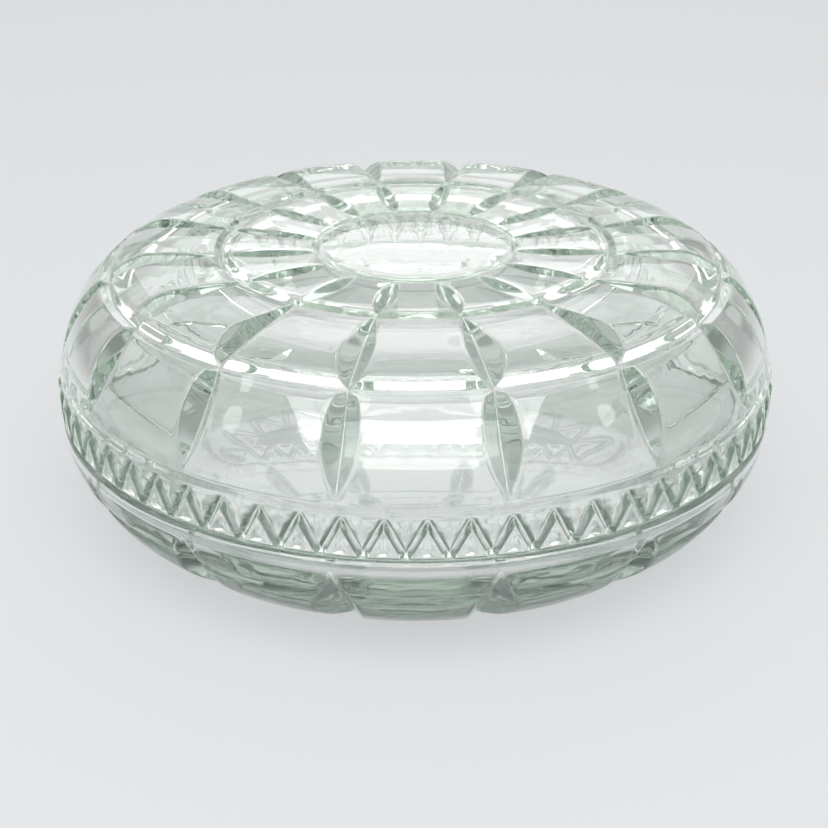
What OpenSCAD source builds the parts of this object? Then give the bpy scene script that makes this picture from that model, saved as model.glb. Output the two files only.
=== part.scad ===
// Covered powder jar of heavy pressed glass: an open bowl and a domed lid that lifts off.
// Millimetres, +Z up, origin at the centre of the underside the bowl stands on.
// The outside is a flattened cushion shape, cut with V mitre grooves into sixteen panels,
// with a band of small triangles round the foot of the lid. The inside is smooth.

/* [Body] */
// overall diameter across the triangle band
jar_d = 130; // [120:1:140]
// overall height with the lid on
jar_h = 48.6; // [46:0.1:52]
// height at which the lid meets the bowl
joint_z = 21.7; // [20:0.1:23.5]
// radius of the flat underside the bowl stands on
foot_r = 39.6; // [36:0.2:42]
// radius at which the flat top of the lid starts to curve down
top_r = 46.7; // [45:0.1:48.5]
// how far the middle of the lid's top is dished below its edge
dish = 1.2; // [0.6:0.1:1.6]
// thickness of the bowl's floor
floor_t = 5; // [4:0.1:6]
// thickness of the lid's top
roof_t = 5.2; // [4.8:0.1:6]

/* [Joint] */
// wall thickness of the bowl at its rim
rim_t = 3.7; // [3.4:0.1:4.2]
// round on the outer edge of the bowl's rim
rim_round = 1.15; // [0.8:0.05:1.4]
// radial clearance between the lid's locating ring and the bowl's wall
lid_gap = 0.4; // [0.3:0.05:0.6]
// thickness of the lid's locating ring
ring_t = 2.1; // [1.8:0.1:2.6]
// how far the locating ring drops into the bowl
ring_drop = 3; // [2:0.1:4]

/* [Mitre grooves] */
// number of panels, and of radial grooves between them
panels = 16; // [12:1:18]
// half the angle between the two sides of a groove
groove_half = 48; // [44:1:52]
// radius of the plain disc at the centre of the lid
disc_r = 17.9; // [16:0.1:20]
// radius of the inner ring groove on the lid
ring1_r = 34.4; // [33:0.1:36]
// radius of the outer ring groove on the lid
ring2_r = 54.9; // [54.2:0.1:55.4]
// depth of the inner ring groove
ring1_d = 1.1; // [0.8:0.1:1.4]
// depth of the outer ring groove
ring2_d = 1.1; // [0.8:0.1:1.4]
// depth of the radial grooves where they are deepest near the disc
lens_d = 1.4; // [1:0.1:1.6]
// height of the ring groove on the bowl
bowl_ring_z = 14.8; // [13.5:0.1:16]
// depth of the ring groove on the bowl
bowl_ring_d = 0.6; // [0.5:0.1:1.2]
// radius at which a radial groove of the bowl would run out below the foot
bowl_cut_r = 50; // [49:0.2:51.6]
// turn of the lid's panels against the bowl's, in degrees
lid_turn = 0.9; // [0:0.1:3]

/* [Triangle band] */
// triangles in each panel
tri_per_panel = 4; // [3:1:4]
// height above the joint at which the triangles start
tri_z = 1.2; // [1:0.1:1.5]
// height of a triangle
tri_h = 6.2; // [5.4:0.1:6.6]
// how far the triangles stand out of the band
tri_out = 1; // [0.7:0.1:1.2]
// turn of the triangle band against the panels, in degrees
tri_turn = 1.6; // [0:0.1:2.8]

/* [Hidden] */
belt_r = jar_d / 2;
lid_r = belt_r - 0.3;
bowl_r = belt_r - 0.1;
n_tri = panels * tri_per_panel;
pitch = 360 / n_tri;
wall_r = bowl_r - rim_t;                 // inside of the bowl at its rim
spigot_r = wall_r - lid_gap;             // outside of the locating ring
cave_r = spigot_r - ring_t;              // inside of the lid
steps = 12;
fine = 96;
strip_z = joint_z + 9.3;                 // top of the plain strip above the triangles

// a point on a cubic curve, and a run of points along it
function cub(p, t) = let (u = 1 - t)
    u * u * u * p[0] + 3 * u * u * t * p[1] + 3 * u * t * t * p[2] + t * t * t * p[3];
function run(p, n) = [for (i = [0:n]) cub(p, i / n)];

// the dished top of the lid from the disc out to where it curves down
lid_dish = [[disc_r, jar_h - dish], [26, jar_h - dish + 0.3], [38, jar_h], [top_r, jar_h]];
// the outside of the lid from the edge of its top down to the wall
lid_out = [[top_r, jar_h], [top_r + 5.5, jar_h], [lid_r, joint_z + 20], [lid_r, joint_z + 3.1]];
// the inside of the lid from its wall up to the flat ceiling
lid_in = [[cave_r, joint_z + 4], [cave_r, joint_z + 15.5], [46, jar_h - roof_t], [36.5, jar_h - roof_t]];
// the outside of the bowl from its wall down to the flat underside
bowl_out = [[bowl_r, joint_z - rim_round], [bowl_r, joint_z - 13.1], [foot_r + 12.2, 0], [foot_r, 0]];
// the round on the bowl's rim, from its flat top to its wall
bowl_rim = [[bowl_r - rim_round, joint_z], [bowl_r - 0.45 * rim_round, joint_z],
    [bowl_r, joint_z - 0.45 * rim_round], [bowl_r, joint_z - rim_round]];
// the inside of the bowl from the floor up to its wall
bowl_in = [[34, floor_t], [46, floor_t], [wall_r - 2.9, joint_z - 9.7], [wall_r, joint_z - 3.5]];

// a V groove whose bottom line is an arc round c, from angle to angle, in the plane of the axis;
// side 1 opens away from c, side -1 opens towards it
module arc_groove(c, r, from, to, side = 1, reach = 5) {
    translate([c[0], 0, c[1]]) rotate([90, 0, 0]) rotate([0, 0, from])
        rotate_extrude(angle = to - from, $fn = fine)
            polygon([[r, 0], [r + side * reach, -reach * tan(groove_half)], [r + side * reach, reach * tan(groove_half)]]);
}

// a straight V groove whose bottom line runs from a to b, both [radius, height]
module line_groove(a, b, reach = 6) {
    len = norm(b - a);
    lean = atan2(b[1] - a[1], b[0] - a[0]);
    translate([a[0], 0, a[1]]) rotate([0, -lean, 0]) rotate([90, 0, 90])
        linear_extrude(len) polygon([[0, 0], [reach * tan(groove_half), reach], [-reach * tan(groove_half), reach]]);
}

// a V groove all the way round, its bottom at [r, z] and opening along angle a above level
module ring_groove(r, z, a, reach = 4) {
    w = groove_half;
    rotate_extrude($fn = fine) polygon([
        [r, z],
        [r + reach * cos(a - w) / cos(w), z + reach * sin(a - w) / cos(w)],
        [r + reach * cos(a + w) / cos(w), z + reach * sin(a + w) / cos(w)]]);
}

// centre of the circle through three points
function mid_of(a, b, c) = let (
    d = 2 * (a[0] * (b[1] - c[1]) + b[0] * (c[1] - a[1]) + c[0] * (a[1] - b[1])))
    [(a * a * (b[1] - c[1]) + b * b * (c[1] - a[1]) + c * c * (a[1] - b[1])) / d,
     (a * a * (c[0] - b[0]) + b * b * (a[0] - c[0]) + c * c * (b[0] - a[0])) / d];
function ang(c, p) = atan2(p[1] - c[1], p[0] - c[0]);

// the inner ring groove's bottom, and the outer one's
ring1_at = [ring1_r, jar_h - 0.38 - ring1_d];
ring2_at = [ring2_r - 0.5 * ring2_d, jar_h - 3.2 - 0.82 * ring2_d];
// points on the bottom lines of the radial grooves, from the disc out to the triangle band
lens_from = [disc_r, jar_h - dish];
lens_to = [ring1_r, jar_h - 0.38];
hump_from = [ring1_r, jar_h - 0.5];
hump_by = [46.2, jar_h - 2.05];
cross_at = ring2_at + [0.1, 0.25];
leaf_by = [59.2, joint_z + 15.8];
leaf_to = [lid_r + 0.2, strip_z];

module lid_radial() {
    // lens between the disc and the inner ring: the mark of a V-edged wheel
    half = norm(lens_to - lens_from) / 2;
    wheel = (half * half + lens_d * lens_d) / (2 * lens_d);
    up = [lens_from[1] - lens_to[1], lens_to[0] - lens_from[0]] / (2 * half);
    lens_c = (lens_from + lens_to) / 2 + up * (wheel - lens_d);
    arc_groove(lens_c, wheel, ang(lens_c, lens_from) - 4, ang(lens_c, lens_to) + 4, -1);
    // between the two rings, over the shoulder
    hump_c = mid_of(hump_from, hump_by, cross_at);
    arc_groove(hump_c, norm(hump_by - hump_c), ang(hump_c, cross_at), ang(hump_c, hump_from));
    // leaf from the outer ring down to a point above the triangle band
    leaf_c = mid_of(cross_at, leaf_by, leaf_to);
    arc_groove(leaf_c, norm(leaf_by - leaf_c), ang(leaf_c, cross_at), ang(leaf_c, leaf_to), -1);
}

module triangle_stud() {
    // a triangle with bevelled sides and a slightly dished face, standing out along +X
    r0 = lid_r - tri_out - 1.2;
    r1 = belt_r;
    w = belt_r * tan(pitch / 2) * 2 * 0.97;
    z0 = joint_z + tri_z;
    z1 = z0 + tri_h;
    s = 0.78;                            // size of the front face against the foot
    polyhedron(
        points = [
            [r0, -w / 2, z0], [r0, w / 2, z0], [r0, 0, z1],
            [r1 - tri_out - 0.1, -w / 2, z0], [r1 - tri_out - 0.1, w / 2, z0], [r1 - tri_out - 0.1, 0, z1],
            [r1, -w / 2 * s, z0], [r1, w / 2 * s, z0], [r1, 0, z0 + tri_h * s],
            [r1 - 0.3, 0, z0 + tri_h * 0.28]],
        faces = [
            [0, 1, 2], [0, 3, 4, 1], [1, 4, 5, 2], [2, 5, 3, 0],
            [3, 6, 7, 4], [4, 7, 8, 5], [5, 8, 6, 3], [6, 8, 9], [8, 7, 9], [7, 6, 9]]);
}

// a small round button between the tips of two neighbouring triangles
module button() {
    translate([lid_r - tri_out - 1, 0, joint_z + tri_z + tri_h - 2.75]) rotate([0, 90, 0])
        cylinder(r = belt_r * tan(pitch / 2) * 0.36, h = 1 + tri_out * 0.9, $fn = fine);
}

module lid() {
    color([0.86, 0.9, 0.88, 0.35]) union() {
        difference() {
            rotate_extrude($fn = fine) polygon(concat(
                [[0, jar_h - dish]], [for (i = [0:3]) cub(lid_dish, i / 4)], run(lid_out, steps),
                [[lid_r, joint_z], [spigot_r, joint_z], [spigot_r - 0.3, joint_z - ring_drop],
                 [cave_r + 0.3, joint_z - ring_drop]],
                run(lid_in, steps), [[0, jar_h - roof_t]]));
            // the wall steps in a little below the panels
            rotate_extrude($fn = fine) polygon([
                [lid_r - 0.22, joint_z - 1], [lid_r + 2, joint_z - 1], [lid_r + 2, strip_z], [lid_r - 0.3, strip_z]]);
            // the band the triangles stand in
            rotate_extrude($fn = fine) polygon([
                [lid_r - tri_out, joint_z + tri_z - 0.1], [lid_r + 2, joint_z + tri_z - 0.1],
                [lid_r + 2, joint_z + tri_z + tri_h + 0.1], [lid_r - tri_out, joint_z + tri_z + tri_h + 0.1]]);
            ring_groove(ring1_at[0], ring1_at[1], 90);
            ring_groove(ring2_at[0], ring2_at[1], 58);
            // a fine line round the plain disc
            ring_groove(disc_r, jar_h - dish - 0.35, 90, 2);
            for (i = [0:panels - 1]) rotate([0, 0, (i + 0.5) * 360 / panels - 90 + lid_turn]) lid_radial();
        }
        for (i = [0:n_tri - 1]) rotate([0, 0, -90 + tri_turn + i * pitch]) triangle_stud();
        for (i = [0:n_tri - 1]) rotate([0, 0, -90 + tri_turn + (i + 0.5) * pitch]) button();
    }
}

// bowl: the straight bottom line of a radial groove, run on past both ends
cut_high = [bowl_r, joint_z - 2.4];
cut_low = [bowl_cut_r, 1.2];
cut_dir = (cut_low - cut_high) / norm(cut_low - cut_high);

module bowl() {
    color([0.8, 0.86, 0.83, 0.35]) difference() {
        rotate_extrude($fn = fine) polygon(concat(
            [[0, floor_t]], run(bowl_in, steps),
            [[wall_r, joint_z - 0.5], [wall_r + 0.5, joint_z]],
            run(bowl_rim, 5), [for (i = [1:steps]) cub(bowl_out, i / steps)], [[0, 0]]));
        ring_groove(bowl_r - 1.25 - 0.8 * bowl_ring_d, bowl_ring_z + 0.6 * bowl_ring_d, -38);
        for (i = [0:panels - 1]) rotate([0, 0, (i + 0.5) * 360 / panels - 90])
            line_groove(cut_high - 2 * cut_dir, cut_low + 4 * cut_dir);
    }
}

bowl();
lid();
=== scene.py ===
import math
import bpy
import numpy as np
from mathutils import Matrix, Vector


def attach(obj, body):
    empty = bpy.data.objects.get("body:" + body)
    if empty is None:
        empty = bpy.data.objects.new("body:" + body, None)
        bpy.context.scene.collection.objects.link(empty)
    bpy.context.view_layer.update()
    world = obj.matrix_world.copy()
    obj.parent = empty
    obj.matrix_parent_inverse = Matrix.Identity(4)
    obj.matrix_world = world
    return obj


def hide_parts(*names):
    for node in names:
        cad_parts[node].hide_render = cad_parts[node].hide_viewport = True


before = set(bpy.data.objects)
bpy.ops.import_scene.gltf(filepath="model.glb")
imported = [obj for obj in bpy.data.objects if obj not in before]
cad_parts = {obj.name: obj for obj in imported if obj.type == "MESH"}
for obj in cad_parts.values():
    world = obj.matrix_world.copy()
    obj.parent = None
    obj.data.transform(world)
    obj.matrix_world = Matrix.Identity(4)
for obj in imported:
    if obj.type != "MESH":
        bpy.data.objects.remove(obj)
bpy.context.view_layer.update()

MM = 0.001
TAU = 2.0 * math.pi

# ---------------------------------------------------------------- dimensions
# millimetres, the same as the CAD
BELT_R = 65.0
JAR_H = 48.6
JOINT_Z = 21.7
FOOT_R = 39.6
TOP_R = 46.7
DISH = 1.2
FLOOR_T = 5.0
ROOF_T = 5.2
LID_R = BELT_R - 0.3
BOWL_R = BELT_R - 0.1
WALL_R = BOWL_R - 3.7
SPIGOT_R = WALL_R - 0.4
CAVE_R = SPIGOT_R - 2.1
RING_DROP = 3.0
BEAD = 1.15              # round on the outside of the bowl's rim
PANELS = 16
TAN = math.tan(math.radians(48.0))
COT = 1.0 / TAN
DISC_R = 17.9
DISC_D = 0.35
RING1_R, RING1_D = 34.4, 1.1
RING2_R, RING2_Z = 54.35, 44.5        # bottom of the outer ring groove
LENS_D = 1.4
TRI_Z, TRI_H, TRI_OUT = 1.2, 6.2, 1.0
TRI_TURN = 1.6
N_TRI = 64
LID_TURN = 0.9           # the lid sits a degree round from the bowl

ROUND_EDGE = 0.16        # fire-polished arris
ROUND_ROOT = 0.14        # root of a groove


def cub(p, t):
    t = np.asarray(t, float)[..., None]
    p = np.asarray(p, float)
    u = 1 - t
    return u**3 * p[0] + 3 * u * u * t * p[1] + 3 * u * t * t * p[2] + t**3 * p[3]


def circle_of(a, b, c):
    """Centre and radius of the circle through three points."""
    d = 2 * (a[0] * (b[1] - c[1]) + b[0] * (c[1] - a[1]) + c[0] * (a[1] - b[1]))
    A, B, C = (a[0] ** 2 + a[1] ** 2), (b[0] ** 2 + b[1] ** 2), (c[0] ** 2 + c[1] ** 2)
    x = (A * (b[1] - c[1]) + B * (c[1] - a[1]) + C * (a[1] - b[1])) / d
    y = (A * (c[0] - b[0]) + B * (a[0] - c[0]) + C * (b[0] - a[0])) / d
    return np.array([x, y]), math.hypot(a[0] - x, a[1] - y)


def soft_pos(v, e):
    """v where it is above zero and nothing below, with a small round between."""
    return 0.5 * (v + np.sqrt(v * v + e * e))


def soft_max(a, b, e):
    return 0.5 * (a + b + np.sqrt((a - b) ** 2 + e * e))


def soft_min(a, b, e):
    return -soft_max(-a, -b, e)


def step(x, a, b):
    t = np.clip((x - a) / (b - a), 0.0, 1.0)
    return t * t * (3 - 2 * t)


def v_depth(x, bottom):
    """Depth at a distance x to the side of a V groove whose bottom lies this deep."""
    ax = np.sqrt(x * x + ROUND_ROOT**2) - ROUND_ROOT
    return bottom - ax * COT


def below_line(p, n, a, b):
    """Depth under p, along -n, of the straight bottom line from a to b."""
    d = (b - a) / np.linalg.norm(b - a)
    m = np.array([-d[1], d[0]])
    den = float((n * m).sum())
    return float(((p - a) * m).sum()) / (den if abs(den) > 1e-6 else 1e-6)


def below_hump(p, n, c, r):
    """Depth under p of an arc whose centre lies inside the glass."""
    q = p - c
    b = float((q * n).sum())
    return b - math.sqrt(max(b * b - (float((q * q).sum()) - r * r), 0.0))


def below_wheel(p, n, c, r):
    """Depth under p of an arc whose centre lies outside, as a cutting wheel leaves."""
    q = p - c
    b = float((q * n).sum())
    k = b * b - (float((q * q).sum()) - r * r)
    return b + math.sqrt(k) if k > 0 else -3.0


class Profile:
    """An outline in the plane of the axis, with its length and outward normals."""

    def __init__(self, points):
        self.p = np.asarray(points, float)
        step_ = np.linalg.norm(np.diff(self.p, axis=0), axis=1)
        keep = np.r_[True, step_ > 1e-9]
        self.p = self.p[keep]
        self.s = np.r_[0, np.cumsum(np.linalg.norm(np.diff(self.p, axis=0), axis=1))]
        t = np.gradient(self.p, self.s, axis=0)
        t /= np.linalg.norm(t, axis=1)[:, None]
        self.t = t
        self.n = np.stack([-t[:, 1], t[:, 0]], 1)

    def flip(self):
        self.n = -self.n
        return self

    def at(self, s):
        p = np.array([np.interp(s, self.s, self.p[:, 0]), np.interp(s, self.s, self.p[:, 1])])
        n = np.array([np.interp(s, self.s, self.n[:, 0]), np.interp(s, self.s, self.n[:, 1])])
        return p, n / np.linalg.norm(n)

    def s_of_r(self, r):
        i = int(np.argmax(self.p[:, 0] >= r))
        return float(self.s[i])

    def s_of_z(self, z):
        """Length at which a falling outline comes down to this height for the last time."""
        i = len(self.s) - 1 - int(np.argmax(self.p[::-1, 1] >= z))
        return float(self.s[i])

    def foot_of(self, q):
        """Length and depth of the point on the outline straight above q."""
        off = np.abs(((q - self.p) * self.t).sum(1)) + 10.0 * (np.linalg.norm(q - self.p, axis=1) > 6.0)
        i = int(off.argmin())
        return float(self.s[i]), float(((self.p[i] - q) * self.n[i]).sum())


class Shell:
    """A closed glass body built of rings of points that go round the axis."""

    def __init__(self):
        self.v = []
        self.f = []
        self.n = 0

    def ring(self, xyz):
        start = self.n
        self.v.append(np.asarray(xyz, float))
        self.n += len(xyz)
        return (start, len(xyz))

    def polar(self, a, r, z):
        a = np.asarray(a, float)
        r = r + np.zeros(len(a))
        z = z + np.zeros(len(a))
        return self.ring(np.stack([r * np.cos(a), r * np.sin(a), z], 1))

    def plain(self, a0, r, z, n=256):
        return self.polar(a0 + np.arange(n) * TAU / n, r, z)

    def join(self, a, b):
        """Faces between two rings; their counts may differ by a whole factor."""
        sa, na = a
        sb, nb = b
        if nb == 1:
            self.f += [(sa + k, sa + (k + 1) % na, sb) for k in range(na)]
            return
        if na == 1:
            self.f += [(sa, sb + (k + 1) % nb, sb + k) for k in range(nb)]
            return
        if na == nb:
            self.f += [(sa + k, sa + (k + 1) % na, sb + (k + 1) % nb, sb + k) for k in range(na)]
            return
        if na > nb:
            m = na // nb
            h = m // 2
            for j in range(nb):
                j2 = (j + 1) % nb
                for q in range(m):
                    k = (j * m + q) % na
                    self.f.append((sa + k, sa + (k + 1) % na, sb + (j if q < h else j2)))
                self.f.append((sa + (j * m + h) % na, sb + j2, sb + j))
            return
        m = nb // na
        h = m // 2
        for j in range(na):
            j2 = (j + 1) % na
            for q in range(m):
                k = (j * m + q) % nb
                self.f.append((sa + (j if q < h else j2), sb + (k + 1) % nb, sb + k))
            self.f.append((sa + j, sa + j2, sb + (j * m + h) % nb))

    def run(self, rings):
        for a, b in zip(rings[:-1], rings[1:]):
            self.join(a, b)

    def build(self, name):
        v = np.concatenate(self.v) * MM
        me = bpy.data.meshes.new(name)
        me.from_pydata([tuple(x) for x in v], [], [f[::-1] for f in self.f])
        me.validate()
        me.update()
        me.polygons.foreach_set("use_smooth", [True] * len(me.polygons))
        ob = bpy.data.objects.new(name, me)
        bpy.context.scene.collection.objects.link(ob)
        return ob


def fillet(c, r, a0, a1, n):
    return [(c[0] + r * math.cos(math.radians(a)), c[1] + r * math.sin(math.radians(a))) for a in np.linspace(a0, a1, n)]


def between(a, b, n):
    """n stations strictly between a and b."""
    return list(np.linspace(a, b, n + 2)[1:-1])


def groove_rows(centre, depth):
    """Stations across a ring groove, close together at its edges and its root."""
    k = np.array([-1.18, -1.0, -0.84, -0.45, -0.09, 0.09, 0.45, 0.84, 1.0, 1.18])
    return list(centre + k * depth * TAN)


FULL = math.pi / PANELS
COLS = 1024
PER = COLS // PANELS
HALF = PER // 2
# stations from a groove's bottom (0) over its edge (1) and on to the middle of the panel
G_ST = np.array([0.0, 0.04, 0.09, 0.16, 0.27, 0.4, 0.54, 0.68, 0.8, 0.88, 0.94, 1.0, 1.06, 1.13])
P_ST = np.linspace(0, 1, HALF - len(G_ST) + 2)[1:] ** 0.9


def panel_columns(half_w, r, a0):
    """Angles of all columns, gathered at the edges and roots of radial grooves this wide."""
    w = min(max(half_w, 0.45), 0.42 * FULL * r) / r
    g = G_ST * w
    h = np.concatenate([g, g[-1] + (FULL - g[-1]) * P_ST])
    sect = np.concatenate([h[:-1], (2 * FULL - h[::-1])[:-1]])
    return np.concatenate([a0 + k * 2 * FULL + sect for k in range(PANELS)])


def from_groove(a, a0):
    """Angle from the nearest radial groove."""
    return (a - a0 + FULL) % (2 * FULL) - FULL


# ---------------------------------------------------------------- lid
lid_shell = Shell()
dish = cub([[DISC_R, JAR_H - DISH], [26, JAR_H - DISH + 0.3], [38, JAR_H], [TOP_R, JAR_H]], np.linspace(0, 1, 400))
shoulder = cub([[TOP_R, JAR_H], [TOP_R + 5.5, JAR_H], [LID_R, JOINT_Z + 20.0], [LID_R, JOINT_Z + 3.1]], np.linspace(0, 1, 1400))
out = Profile(np.concatenate([[[0.5, JAR_H - DISH]], [[DISC_R - 0.3, JAR_H - DISH]], dish, shoulder[1:], [[LID_R, JOINT_Z]]]))

NODE2 = np.array([RING2_R + 0.1, RING2_Z + 0.25])
BEND = np.array([46.2, JAR_H - 2.05])
START = np.array([RING1_R, JAR_H - 0.5])
LEAF_MID = np.array([59.2, JOINT_Z + 15.8])
TIP = np.array([LID_R + 0.2, JOINT_Z + 9.3])
lens_a, lens_b = np.array([DISC_R, JAR_H - DISH]), np.array([RING1_R, JAR_H - 0.38])
lens_half = float(np.linalg.norm(lens_b - lens_a)) / 2
lens_r = (lens_half**2 + LENS_D**2) / (2 * LENS_D)
lens_up = np.array([lens_a[1] - lens_b[1], lens_b[0] - lens_a[0]]) / (2 * lens_half)
lens_c = (lens_a + lens_b) / 2 + lens_up * (lens_r - LENS_D)
hump_c, hump_r = circle_of(START, BEND, NODE2)
leaf_c, leaf_r = circle_of(NODE2, LEAF_MID, TIP)

s_disc = out.s_of_r(DISC_R)
s_ring1 = out.s_of_r(RING1_R)
s_ring2, d_ring2 = out.foot_of(np.array([RING2_R, RING2_Z]))
BAND_HI = JOINT_Z + TRI_Z + TRI_H + 0.05       # top of the sunk band
STRIP_HI = JOINT_Z + 9.3                       # top of the plain strip over it
s_strip = out.s_of_z(STRIP_HI)

rows = []                                      # lengths along the outline
rows += [s_disc - 1.2, s_disc - 0.55, s_disc - 0.3, s_disc - 0.07, s_disc + 0.07, s_disc + 0.3, s_disc + 0.55, s_disc + 1.2]
g1 = groove_rows(s_ring1, RING1_D)
g2 = groove_rows(s_ring2, d_ring2)
rows += between(s_disc + 1.2, g1[0], 7) + g1
rows += between(g1[-1], g2[0], 9) + g2
n_leaf = 11
rows += between(g2[-1], s_strip - 0.9, n_leaf)
rows += [s_strip - 0.8, s_strip - 0.35, s_strip - 0.12]
N_PANEL = len(rows)
band_z = [STRIP_HI - 0.06, STRIP_HI - 0.3, STRIP_HI - 0.9, BAND_HI + 0.55, BAND_HI + 0.22, BAND_HI + 0.06, BAND_HI - 0.08]
tri_hi = JOINT_Z + TRI_Z + TRI_H - 0.3
band_z += list(np.linspace(tri_hi, JOINT_Z + TRI_Z + 0.3, 13))
band_z += [JOINT_Z + TRI_Z + 0.08, JOINT_Z + TRI_Z - 0.06, JOINT_Z + TRI_Z - 0.22, JOINT_Z + 0.62, JOINT_Z + 0.4, JOINT_Z + 0.2, JOINT_Z + 0.06]

GROOVE0 = -math.pi / 2 + FULL + math.radians(LID_TURN)
TRI0 = -math.pi / 2 + math.radians(TRI_TURN)
PITCH = TAU / N_TRI
HALF_T = PITCH * BELT_R / 2                    # half a triangle's foot
SIDE = math.hypot(TRI_H, HALF_T)
TRI_FOOT = JOINT_Z + TRI_Z


def triangle_columns(z):
    """Sixteen columns to a triangle, which lean with its sides."""
    up = min(max((z - TRI_FOOT) / TRI_H, 0.0), 1.0)
    t = HALF_T * (1 - up)
    f = t - 0.70
    st = np.array([0.0, 0.45 * f, f - 0.6, f - 0.14, f + 0.06, t - 0.03, t + 0.36, t + 0.9, HALF_T])
    for i in range(1, 9):
        st[i] = max(st[i], st[i - 1] + 0.12)
    st[8] = HALF_T
    for i in range(7, 0, -1):
        st[i] = min(st[i], st[i + 1] - 0.12)
    one = np.concatenate([-st[:0:-1], st[:-1]]) / BELT_R         # from one mid-valley to the next
    return np.concatenate([TRI0 + k * PITCH + one for k in range(N_TRI)])


def even_columns():
    return TRI0 - PITCH / 2 + np.arange(COLS) * TAU / COLS


# the groove nearest to where the triangle columns start, so that the two sets line up
first = even_columns()[0]
k0 = round((first - GROOVE0) / (2 * FULL))
GROOVE_A = GROOVE0 + k0 * 2 * FULL
skip = int(round((first - GROOVE_A) / (TAU / COLS)))


def aligned(a):
    """Panel columns, starting at the one nearest to the first triangle column."""
    b = a[skip:].tolist() + [x + TAU for x in a[:skip]] if skip >= 0 else [x - TAU for x in a[skip:]] + a[:skip].tolist()
    return np.array(b)


def relief(a, z):
    """How far the band's surface stands from the triangles' face, and it is never above it."""
    x = ((a - TRI0 + PITCH / 2) % PITCH - PITCH / 2) * BELT_R
    left = ((HALF_T + x) * TRI_H - (z - TRI_FOOT) * HALF_T) / SIDE
    right = ((HALF_T - x) * TRI_H - (z - TRI_FOOT) * HALF_T) / SIDE
    inside = soft_min(left, right, 0.30)
    stud = -1.25 + 1.25 * step(inside, 0.04, 0.64)
    # a shallow dish in the face
    deep = soft_min(inside - 1.12, np.full_like(x, z - TRI_FOOT - 0.62), 0.2)
    stud = stud - 0.45 * step(deep, 0.0, 0.6)
    # the field between two triangles, with a small half-round on it
    away = -np.minimum(left, right)
    field = -1.25 + 0.75 * step(away, -0.02, 0.84)
    xm = ((a - TRI0) % PITCH - PITCH / 2) * BELT_R
    zc = TRI_FOOT + TRI_H - 2.75
    dz = z - zc
    rho = np.sqrt(xm**2 + (dz**2 if dz > 0 else (0.35 * dz) ** 2))
    arch = 0.42 * np.sqrt(np.clip(1 - (rho / 1.2) ** 2, 0, None)) ** 0.6
    field = field + arch * step(away, 0.25, 0.6)
    return np.maximum(stud, np.where(away > 0, field, -1.25))


rings = []
for s in rows:
    i = len(rings)
    p, n = out.at(s)
    r, z = p
    if r <= RING1_R:
        D = below_wheel(p, n, lens_c, lens_r)
    elif s <= s_ring2:
        D = below_hump(p, n, hump_c, hump_r)
    else:
        D = below_wheel(p, n, leaf_c, leaf_r)
    D = max(D, -3.0)
    a = aligned(panel_columns(max(D, 0.0) * TAN, max(r, 1.0), GROOVE_A))
    if i >= N_PANEL - 3:
        mix = (0.04, 0.12, 0.2)[i - N_PANEL + 3]
        a = a * (1 - mix) + even_columns() * mix
    rel = from_groove(a, GROOVE0)
    d = v_depth(rel * r, D) if D > -2.5 else np.full(COLS, -3.0)
    ring = max(float(v_depth(np.array(s - s_ring1), RING1_D)), float(v_depth(np.array(s - s_disc), DISC_D)),
               float(v_depth(np.array(s - s_ring2), d_ring2)))
    d = soft_pos(soft_max(d, ring, 0.06), ROUND_EDGE)
    # panels swell a little between their grooves
    if r > DISC_R + 1:
        q = 1 - np.abs(rel) / FULL
        d = d + 0.16 * q**2 * min(1.0, (r - DISC_R) / 18.0)
    rings.append(lid_shell.polar(a, r - n[0] * d, z - n[1] * d))

strip_r = float(out.at(s_strip)[0][0])
for j, z in enumerate(band_z):
    mix = min(1.0, 0.3 + 0.2 * j)
    panel_a = aligned(panel_columns(0.45, LID_R, GROOVE_A))
    lean = min(1.0, max(0.0, (j - 3) / 4.0))
    tri_a = even_columns() * (1 - lean) + triangle_columns(z) * lean
    if z < TRI_FOOT - 0.1:
        fade = min(1.0, (TRI_FOOT - 0.1 - z) / 0.6)
        tri_a = tri_a * (1 - fade) + even_columns() * fade
    a = panel_a * (1 - mix) + tri_a * mix
    wall = LID_R if z < JOINT_Z + 8 else strip_r + (LID_R - strip_r) * (STRIP_HI - z) / 1.3
    wall = min(wall, LID_R)
    sunk = step(BAND_HI + 0.12 - z, 0.0, 0.26) * step(z - TRI_FOOT + 0.02, -0.14, 0.06)
    rr = (wall - 0.22) * (1 - sunk) + (BELT_R + relief(a, z)) * sunk
    lip = z - JOINT_Z
    if lip < 0.62:
        k = 1 - lip / 0.62
        rr = rr - 0.5 * (1 - math.sqrt(max(1 - k * k, 0.0)))
    rings.append(lid_shell.polar(a, np.minimum(rr, BELT_R), z))

# the disc, from its middle outwards
START_A = even_columns()[0]
disc = [lid_shell.ring([[0, 0, JAR_H - DISH]])]
for r, count in ((4.0, 64), (9.0, 128), (14.0, 512)):
    disc.append(lid_shell.plain(START_A, r, JAR_H - DISH, count))
lid_shell.run(disc + rings)

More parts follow.
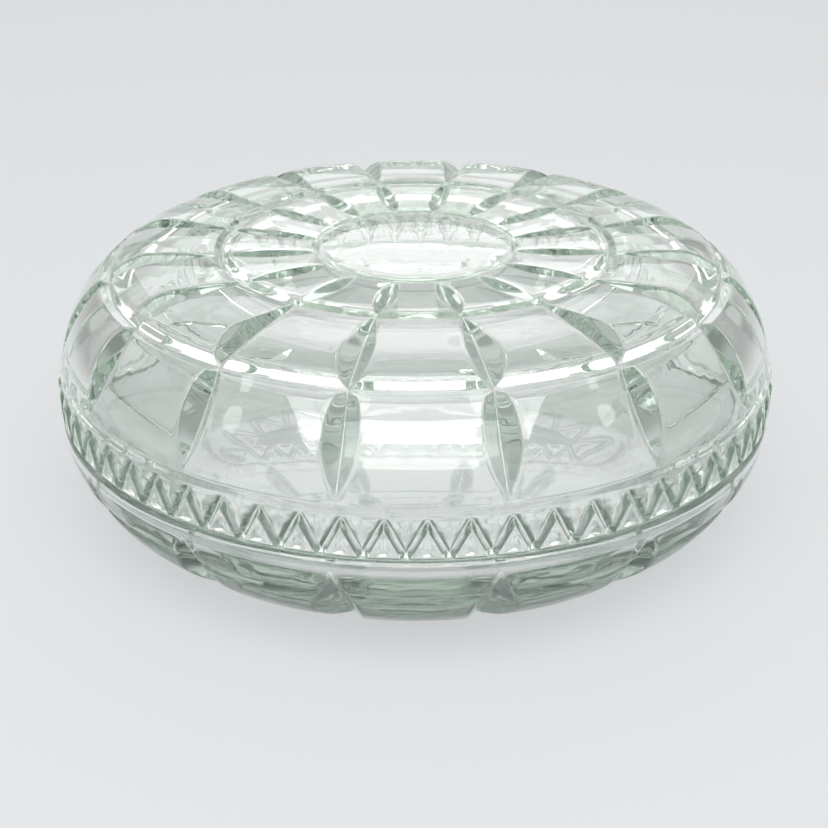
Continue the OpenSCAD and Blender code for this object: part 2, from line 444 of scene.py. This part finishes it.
# round the joint face, down the locating ring, up the wall and across the ceiling
AIR = 0.04               # film of air between the lid and the rim it rests on
lid_in = [(LID_R - 1.1, JOINT_Z + AIR), (SPIGOT_R + 0.55, JOINT_Z + AIR)]
lid_in += fillet((SPIGOT_R + 0.35, JOINT_Z - 0.3), 0.3, 90, 180, 4)
lid_in += [(SPIGOT_R - 0.02, JOINT_Z - 1.2)]
lid_in += fillet((SPIGOT_R - 0.65, JOINT_Z - RING_DROP + 0.55), 0.55, 0, -90, 5)
lid_in += fillet((CAVE_R + 0.65, JOINT_Z - RING_DROP + 0.55), 0.55, -90, -180, 5)
lid_in += [(CAVE_R + 0.05, JOINT_Z - 1.0), (CAVE_R, JOINT_Z + 1.5)]
ceiling = cub([[CAVE_R, JOINT_Z + 4], [CAVE_R, JOINT_Z + 15.5], [46, JAR_H - ROOF_T], [36.5, JAR_H - ROOF_T]], np.linspace(0, 1, 20))
lid_in += [tuple(q) for q in ceiling]
lid_in += [(33.0, JAR_H - ROOF_T), (24.0, JAR_H - ROOF_T), (12.0, JAR_H - ROOF_T)]
lid_shell.run([rings[-1]] + [lid_shell.plain(START_A, r, z) for r, z in lid_in] + [lid_shell.ring([[0, 0, JAR_H - ROOF_T]])])
lid = lid_shell.build("lid_glass")

# ---------------------------------------------------------------- bowl
bowl_shell = Shell()
body = cub([[BOWL_R, JOINT_Z - 0.04 - BEAD], [BOWL_R, JOINT_Z - 13.1], [FOOT_R + 12.2, 0], [FOOT_R, 0]], np.linspace(0, 1, 2000))
side = Profile(body)
if side.n[0][0] < 0:
    side.flip()
if out.n[0][1] < 0:
    raise SystemExit("outline runs the wrong way")
BRING_Z, BRING_D = 14.8, 0.6
s_end = float(side.s[-1])
s_bring = float(np.interp(-BRING_Z, -side.p[:, 1], side.s))
CUT_A = np.array([BOWL_R, JOINT_Z - 2.4])
CUT_B = np.array([50.0, 1.2])
B0 = -math.pi / 2 + FULL
gb = groove_rows(s_bring, BRING_D)
rows = list(np.linspace(0.0, gb[0], 8)[:-1]) + gb + list(np.linspace(gb[-1], s_end - 3.0, 17)[1:]) + [s_end - 2.0, s_end - 1.0, s_end]
rings = []
for r, z in [(BOWL_R - BEAD + BEAD * math.cos(math.radians(a)), JOINT_Z - 0.04 - BEAD + BEAD * math.sin(math.radians(a))) for a in (82, 70, 58, 46, 34, 22, 10)]:
    rings.append(bowl_shell.polar(panel_columns(0.0, r, B0), r, z))
for s in rows:
    p, n = side.at(s)
    r, z = p
    D = below_line(p, n, CUT_A, CUT_B)
    if s < 1.0 or s > s_end - 0.5:
        D = min(D, -0.6)
    a = panel_columns(max(D, 0.0) * TAN, r, B0)
    rel = from_groove(a, B0)
    d = v_depth(rel * r, D)
    ring = float(v_depth(np.array(s - s_bring), BRING_D))
    d = soft_pos(soft_max(d, ring, 0.08), 0.3 if s > s_bring + 2 else ROUND_EDGE)
    q = 1 - np.abs(rel) / FULL
    fade = min(1.0, max(0.0, (s - 1.0) / 4.0)) * min(1.0, max(0.0, (s_end - s) / 6.0))
    d = d + 0.2 * q**2 * fade
    d = d * min(1.0, max(0.0, s_end - s))
    rings.append(bowl_shell.polar(a, r - n[0] * d, np.maximum(z - n[1] * d, 0.0)))

# inside, from the middle of the floor out to the rim
bowl_in = [(12.0, FLOOR_T), (24.0, FLOOR_T)]
bowl_in += [tuple(q) for q in cub([[34, FLOOR_T], [46, FLOOR_T], [WALL_R - 2.9, JOINT_Z - 9.7], [WALL_R, JOINT_Z - 3.5]], np.linspace(0, 1, 20))]
bowl_in += [(WALL_R, JOINT_Z - 3.2), (WALL_R, JOINT_Z - 1.0)] + fillet((WALL_R + 0.45, JOINT_Z - 0.5), 0.45, 180, 90, 5) + [(BOWL_R - 1.5, JOINT_Z - 0.04)]
inner = [bowl_shell.ring([[0, 0, FLOOR_T]])] + [bowl_shell.plain(B0, r, z) for r, z in bowl_in]
under = [bowl_shell.plain(B0, r, 0.0) for r in (34.0, 24.0, 12.0)] + [bowl_shell.ring([[0, 0, 0]])]
bowl_shell.run(inner + rings + under)
bowl = bowl_shell.build("bowl_glass")


# ---------------------------------------------------------------- glass
def glass(name, tint, density, face, flank_shade, deep_shade, side, rough, bump, seed):
    m = bpy.data.materials.new(name)
    m.use_nodes = True
    nt = m.node_tree
    nt.nodes.clear()
    out = nt.nodes.new("ShaderNodeOutputMaterial")
    b = nt.nodes.new("ShaderNodeBsdfPrincipled")
    b.inputs["Transmission Weight"].default_value = 1.0
    b.inputs["IOR"].default_value = 1.52
    b.inputs["Roughness"].default_value = 0.0
    tc = nt.nodes.new("ShaderNodeTexCoord")
    mp = nt.nodes.new("ShaderNodeMapping")
    mp.inputs["Location"].default_value = (seed, seed * 0.7, 0)
    nt.links.new(tc.outputs["Object"], mp.inputs["Vector"])
    # painted shade: the flanks of the cuts, which turn away sideways from the round of the body, are painted
    # greyer
    ge = nt.nodes.new("ShaderNodeNewGeometry")
    across = nt.nodes.new("ShaderNodeVectorMath")
    across.operation = "CROSS_PRODUCT"
    across.inputs[0].default_value = (0, 0, 1)
    nt.links.new(tc.outputs["Object"], across.inputs[1])
    unit = nt.nodes.new("ShaderNodeVectorMath")
    unit.operation = "NORMALIZE"
    nt.links.new(across.outputs["Vector"], unit.inputs[0])
    turn = nt.nodes.new("ShaderNodeVectorMath")
    turn.operation = "DOT_PRODUCT"
    nt.links.new(unit.outputs["Vector"], turn.inputs[0])
    nt.links.new(ge.outputs["Normal"], turn.inputs[1])
    size = nt.nodes.new("ShaderNodeMath")
    size.operation = "ABSOLUTE"
    nt.links.new(turn.outputs["Value"], size.inputs[0])
    flank = nt.nodes.new("ShaderNodeMapRange")
    flank.inputs["From Min"].default_value = 0.2
    flank.inputs["From Max"].default_value = 0.6
    flank.interpolation_type = "SMOOTHSTEP"
    nt.links.new(size.outputs[0], flank.inputs["Value"])
    # and the small ones of the triangle band, lower down, are painted a darker shade than the long mitres
    up = nt.nodes.new("ShaderNodeSeparateXYZ")
    nt.links.new(tc.outputs["Object"], up.inputs[0])
    def ramp(a, z0, z1):
        node = nt.nodes.new("ShaderNodeMapRange")
        node.inputs["From Min"].default_value = z0
        node.inputs["From Max"].default_value = z1
        nt.links.new(a, node.inputs["Value"])
        return node.outputs["Result"]

    def maths(op, a, c):
        node = nt.nodes.new("ShaderNodeMath")
        node.operation = op
        for i, x in enumerate((a, c)):
            if isinstance(x, float):
                node.inputs[i].default_value = x
            else:
                nt.links.new(x, node.inputs[i])
        return node.outputs[0]

    z = up.outputs["Z"]
    in_band = maths("MULTIPLY", ramp(z, (BAND_HI + 0.8) * MM, (BAND_HI + 0.2) * MM), ramp(z, (TRI_FOOT - 0.3) * MM, (TRI_FOOT - 0.1) * MM))
    # painted shade: the outside of the lid's lip, between the joint and the triangles, is painted with the deep
    # shade colour to grey it
    in_lip = maths("MULTIPLY", ramp(z, (TRI_FOOT + 0.1) * MM, (TRI_FOOT - 0.2) * MM), ramp(z, (JOINT_Z + 0.06) * MM, (JOINT_Z + 0.2) * MM))
    far_out = nt.nodes.new("ShaderNodeVectorMath")
    far_out.operation = "LENGTH"
    nt.links.new(across.outputs["Vector"], far_out.inputs[0])
    in_lip = maths("MULTIPLY", in_lip, ramp(far_out.outputs["Value"], 62.5 * MM, 63.0 * MM))
    # painted shade: the outside of the thick bowl is painted greyer towards its foot; side is 1 for the bowl and 0
    # for the lid
    outside = ramp(maths("SUBTRACT", far_out.outputs["Value"], z), 44.5 * MM, 46 * MM)
    foot_shade = maths("MULTIPLY", outside, ramp(z, 19 * MM, 10 * MM))
    foot_shade = maths("MULTIPLY", foot_shade, side)
    # painted shade: level ledges in the triangle band are painted darker to damp the highlights they catch, and
    # are made rougher further down
    lean = nt.nodes.new("ShaderNodeSeparateXYZ")
    nt.links.new(ge.outputs["Normal"], lean.inputs[0])
    level = maths("ABSOLUTE", lean.outputs["Z"], 0.0)
    ledge = maths("MULTIPLY", maths("MULTIPLY", level, level), in_band)
    blot = nt.nodes.new("ShaderNodeTexNoise")
    blot.inputs["Scale"].default_value = 520.0
    blot.inputs["Detail"].default_value = 3.0
    nt.links.new(tc.outputs["Object"], blot.inputs["Vector"])
    patch = maths("MULTIPLY", ramp(blot.outputs["Fac"], 0.52, 0.72), maths("MULTIPLY", in_band, 0.45))
    # painted shade: which shade colour a spot gets, the flanks' painted shade or the deeper painted shade of the
    # band, lip and bowl foot
    which = nt.nodes.new("ShaderNodeMix")
    which.data_type = "RGBA"
    which.inputs["A"].default_value = flank_shade
    which.inputs["B"].default_value = deep_shade
    nt.links.new(maths("MAXIMUM", foot_shade, maths("MAXIMUM", in_band, in_lip)), which.inputs["Factor"])
    # painted shade: the base colour goes from the clear face colour towards the chosen painted shade colour
    grey = nt.nodes.new("ShaderNodeMix")
    grey.data_type = "RGBA"
    grey.inputs["A"].default_value = face
    nt.links.new(which.outputs["Result"], grey.inputs["B"])
    share = maths("MAXIMUM", flank.outputs["Result"], maths("MAXIMUM", ledge, patch))
    nt.links.new(maths("MAXIMUM", maths("MAXIMUM", share, foot_shade), in_lip), grey.inputs["Factor"])
    nt.links.new(grey.outputs["Result"], b.inputs["Base Color"])
    # slow waviness of pressed glass, and a finer chill ripple
    n1 = nt.nodes.new("ShaderNodeTexNoise")
    n1.inputs["Scale"].default_value = 160.0
    n1.inputs["Detail"].default_value = 2.0
    n2 = nt.nodes.new("ShaderNodeTexNoise")
    n2.inputs["Scale"].default_value = 700.0
    n2.inputs["Detail"].default_value = 3.0
    nt.links.new(mp.outputs["Vector"], n1.inputs["Vector"])
    nt.links.new(mp.outputs["Vector"], n2.inputs["Vector"])
    mix = nt.nodes.new("ShaderNodeMath")
    mix.operation = "MULTIPLY_ADD"
    mix.inputs[1].default_value = 0.12
    nt.links.new(n2.outputs["Fac"], mix.inputs[0])
    nt.links.new(n1.outputs["Fac"], mix.inputs[2])
    bp = nt.nodes.new("ShaderNodeBump")
    bp.inputs["Strength"].default_value = bump
    bp.inputs["Distance"].default_value = 0.0006
    nt.links.new(mix.outputs[0], bp.inputs["Height"])
    nt.links.new(bp.outputs["Normal"], b.inputs["Normal"])
    # roughness: nearly clear, with faint cloudy patches
    n3 = nt.nodes.new("ShaderNodeTexNoise")
    n3.inputs["Scale"].default_value = 45.0
    n3.inputs["Detail"].default_value = 4.0
    nt.links.new(mp.outputs["Vector"], n3.inputs["Vector"])
    mr = nt.nodes.new("ShaderNodeMapRange")
    mr.inputs["From Min"].default_value = 0.4
    mr.inputs["From Max"].default_value = 0.75
    mr.inputs["To Min"].default_value = 0.0
    mr.inputs["To Max"].default_value = rough
    nt.links.new(n3.outputs["Fac"], mr.inputs["Value"])
    nt.links.new(maths("MAXIMUM", mr.outputs["Result"], maths("MULTIPLY", ledge, 0.4)), b.inputs["Roughness"])
    va = nt.nodes.new("ShaderNodeVolumeAbsorption")
    va.inputs["Color"].default_value = tint
    va.inputs["Density"].default_value = density
    nt.links.new(b.outputs["BSDF"], out.inputs["Surface"])
    nt.links.new(va.outputs["Volume"], out.inputs["Volume"])
    return m


# the fourth colour is the flanks' painted shade, the fifth the deeper painted shade of the band, lip and bowl
# foot; the 1.0 or 0.0 after them turns the bowl foot's painted shade on or off
lid.data.materials.append(glass("lid_glass_material", (0.79, 0.88, 0.80, 1), 14.0, (0.985, 0.998, 0.982, 1), (0.54, 0.61, 0.57, 1), (0.16, 0.21, 0.18, 1), 0.0, 0.04, 0.03, 3.1))
bowl.data.materials.append(glass("bowl_glass_material", (0.80, 0.824, 0.806, 1), 46.0, (0.985, 0.992, 0.987, 1), (0.62, 0.68, 0.64, 1), (0.47, 0.53, 0.49, 1), 1.0, 0.02, 0.02, 9.7))

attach(lid, "lid")
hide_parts("lid")
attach(bowl, "bowl")
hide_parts("bowl")

# ---------------------------------------------------------------- floor
bpy.ops.mesh.primitive_plane_add(size=1, location=(0, 0, 0))
floor = bpy.context.object
floor.name = "floor"
floor.scale = (3.0, 3.0, 1)
floor.location = (0, 0.4, -0.0002)
fm = bpy.data.materials.new("floor_material")
fm.use_nodes = True
fb = fm.node_tree.nodes["Principled BSDF"]
fb.inputs["Base Color"].default_value = (0.13, 0.134, 0.138, 1)
fb.inputs["Emission Color"].default_value = (0.96, 0.98, 0.995, 1)
fb.inputs["Emission Strength"].default_value = 0.56
fb.inputs["Roughness"].default_value = 0.9
fb.inputs["Specular IOR Level"].default_value = 0.0
floor.data.materials.append(fm)

# ---------------------------------------------------------------- light
world = bpy.data.worlds.new("studio")
bpy.context.scene.world = world
world.use_nodes = True
wt = world.node_tree
wt.nodes.clear()
wo = wt.nodes.new("ShaderNodeOutputWorld")
wb = wt.nodes.new("ShaderNodeBackground")
wtc = wt.nodes.new("ShaderNodeTexCoord")
ws = wt.nodes.new("ShaderNodeSeparateXYZ")
wr = wt.nodes.new("ShaderNodeValToRGB")
wt.links.new(wtc.outputs["Generated"], ws.inputs[0])
wm = wt.nodes.new("ShaderNodeMapRange")
wm.inputs["From Min"].default_value = -1.0
wm.inputs["From Max"].default_value = 1.0
wt.links.new(ws.outputs["Z"], wm.inputs["Value"])
wt.links.new(wm.outputs["Result"], wr.inputs["Fac"])
cr = wr.color_ramp
cr.elements[0].position = 0.0
cr.elements[0].color = (0.7, 0.7, 0.7, 1)
cr.elements[1].position = 1.0
cr.elements[1].color = (0.85, 0.85, 0.85, 1)
for at, level in ((0.5, 0.65), (0.54, 0.5), (0.57, 0.42), (0.665, 0.42), (0.70, 0.78), (0.86, 0.85), (0.94, 0.85)):
    cr.elements.new(at).color = (level, level, level, 1)
wt.links.new(wr.outputs["Color"], wb.inputs["Color"])
wb.inputs["Strength"].default_value = 1.0
wt.links.new(wb.outputs["Background"], wo.inputs["Surface"])


def card(name, loc, target, sx, sy, power, colour=(1, 1, 1)):
    li = bpy.data.lights.new(name, "AREA")
    li.shape = "RECTANGLE"
    li.size = sx
    li.size_y = sy
    li.energy = power
    li.color = colour
    ob = bpy.data.objects.new(name, li)
    bpy.context.scene.collection.objects.link(ob)
    ob.location = loc
    d = Vector(target) - Vector(loc)
    ob.rotation_euler = d.to_track_quat("-Z", "Y").to_euler()
    return ob


card("overhead", (0.0, -0.36, 0.56), (0, -0.02, 0.03), 0.7, 0.48, 6.0)
card("back", (0.0, 0.62, 0.56), (0, 0, 0.03), 0.9, 0.6, 1.8)

# ---------------------------------------------------------------- camera
PX = 65.0 / 338.0 * MM
ELEV = math.radians(27.46)
DIST = 1318 * PX
TARGET = Vector((0, 0, 67 * PX))
cam = bpy.data.cameras.new("camera")
cam.sensor_width = 36.0
cam.lens = 1318 / 828 * 36.0
cam.clip_start = 0.01
cam.shift_x = -1.3 / 828
camera = bpy.data.objects.new("camera", cam)
bpy.context.scene.collection.objects.link(camera)
camera.location = TARGET + Vector((0, -math.cos(ELEV), math.sin(ELEV))) * DIST
camera.rotation_euler = (math.pi / 2 - ELEV, 0, 0)
bpy.context.scene.camera = camera

sc = bpy.context.scene
sc.view_settings.view_transform = "Standard"
sc.view_settings.look = "None"
sc.cycles.max_bounces = 160
sc.cycles.transmission_bounces = 160
sc.cycles.glossy_bounces = 160
sc.cycles.diffuse_bounces = 4
sc.cycles.transparent_max_bounces = 32
